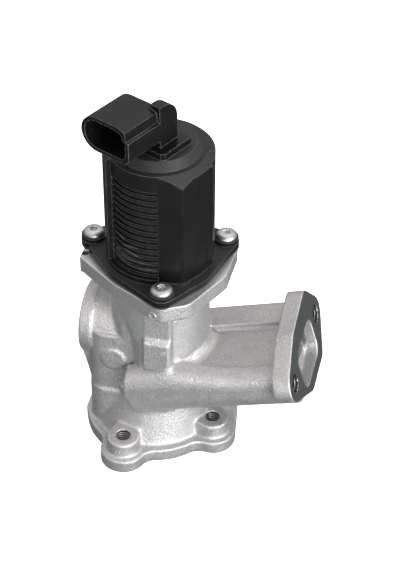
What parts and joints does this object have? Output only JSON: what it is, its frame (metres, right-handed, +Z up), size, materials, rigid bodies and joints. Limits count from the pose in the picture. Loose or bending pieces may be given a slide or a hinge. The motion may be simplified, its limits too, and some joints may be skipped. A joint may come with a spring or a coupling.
{
  "type": "exhaust gas recirculation valve",
  "caption": "Cast valve body with a threaded round base, a side port and a side duct with a bolted flange; a ribbed solenoid with a plug socket lifts a poppet off its seat.",
  "frame": {"origin": "the valve's axis where it crosses the base's mounting face", "axes": "+Z up the stem, the way the poppet lifts; +X the way the side duct points in plan; +Y to the back"},
  "size_m": [0.1144, 0.0844, 0.187],
  "materials": {
    "cast_aluminium": "rough die-cast",
    "seat_steel": "ground",
    "guide_bronze": "machined",
    "scraper_steel": "satin",
    "seal_rubber": "moulded",
    "stem_steel": "ground",
    "poppet_steel": "turned",
    "clip_steel": "phosphated",
    "soft_iron": "turned",
    "gasket_sheet": "pressed sheet",
    "black_moulding": "satin moulded",
    "cover_moulding": "satin moulded",
    "screw_zinc": "zinc plated",
    "sleeve_steel": "rolled",
    "sleeve_bright": "drawn",
    "bobbin_nylon": "moulded",
    "copper_wire": "enamelled",
    "contact_brass": "tinned",
    "spring_steel": "drawn wire",
    "sensor_board": "printed",
    "plunger_nylon": "moulded"
  },
  "bodies": {
    "housing": {"valve_housing": "cast_aluminium", "seat_ring": "seat_steel", "stem_guide": "guide_bronze", "scraper_ring": "scraper_steel", "stem_seal": "seal_rubber", "actuator_gasket": "gasket_sheet", "actuator_housing": "black_moulding", "compression_sleeves": "sleeve_steel", "actuator_screws": "screw_zinc", "bottom_plate": "soft_iron", "yoke_tube": "soft_iron", "guide_sleeve": "sleeve_bright", "coil_bobbin": "bobbin_nylon", "coil_winding": "copper_wire", "coil_terminals": "contact_brass", "top_plate": "soft_iron", "fixed_core": "soft_iron", "return_spring": "spring_steel", "sensor_cover": "cover_moulding", "cap_seal": "seal_rubber", "connector_pins": "contact_brass", "sensor_track": "sensor_board", "sensor_spring": "spring_steel"},
    "valve": {"valve_stem": "stem_steel", "poppet_head": "poppet_steel", "stem_clip": "clip_steel", "armature": "soft_iron"},
    "sensor": {"sensor_plunger": "plunger_nylon", "sensor_wiper": "contact_brass"}
  },
  "joints": [
    {"name": "valve_lift", "type": "slide", "parent": "housing", "child": "valve", "axis": [0, 0, 1], "range_m": [0, 0.006], "stiffness_N_per_m": 1500, "springref_m": -0.01, "deforming": ["return_spring"]},
    {"name": "sensor_follow", "type": "slide", "parent": "housing", "child": "sensor", "axis": [0, 0, 1], "range_m": [0, 0.006], "stiffness_N_per_m": 150, "springref_m": -0.01, "deforming": ["sensor_spring"]}
  ],
  "couplings": [
    {"joint": "sensor_follow", "follows": "valve_lift", "ratio": 1}
  ]
}
